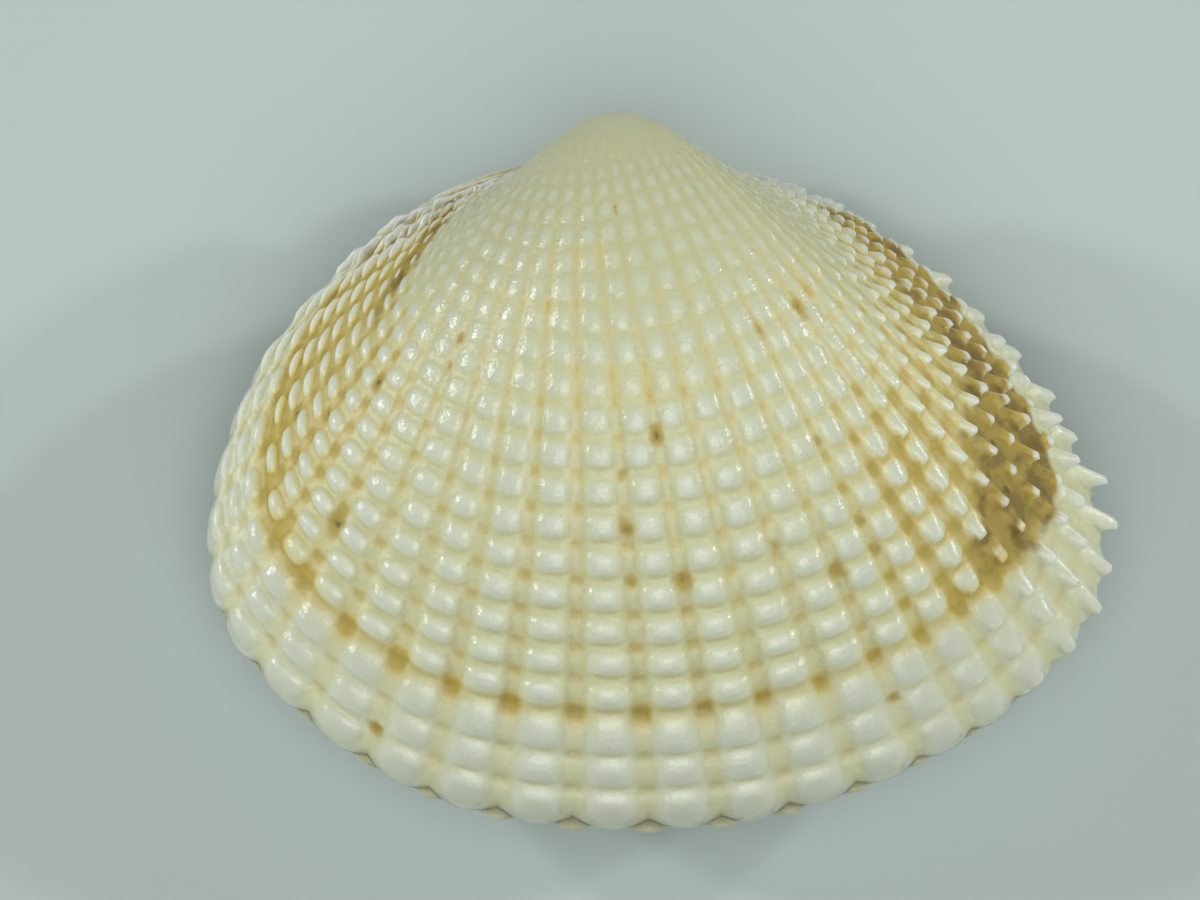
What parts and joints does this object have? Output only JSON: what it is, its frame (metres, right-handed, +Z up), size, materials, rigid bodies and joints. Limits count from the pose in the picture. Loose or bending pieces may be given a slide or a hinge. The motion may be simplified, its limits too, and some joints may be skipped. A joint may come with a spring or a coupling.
{
  "type": "clam shell",
  "caption": "Small closed bivalve shell with beaded radial ribs, lying on a flat spot worn in its lower valve.",
  "frame": {"origin": "centre of the flat spot on the lower valve, at the level of the surface that the shell lies on", "axes": "+Z up, +X towards the rear end of the shell, +Y towards the hinge and the beaks"},
  "size_m": [0.0159, 0.0126, 0.0068],
  "materials": {
    "left_valve": "satin ivory shell, ochre stain in the grooves",
    "right_valve": "satin ivory shell, ochre stain in the grooves"
  },
  "bodies": {
    "root": {"left_valve": "left_valve", "right_valve": "right_valve"}
  },
  "joints": []
}
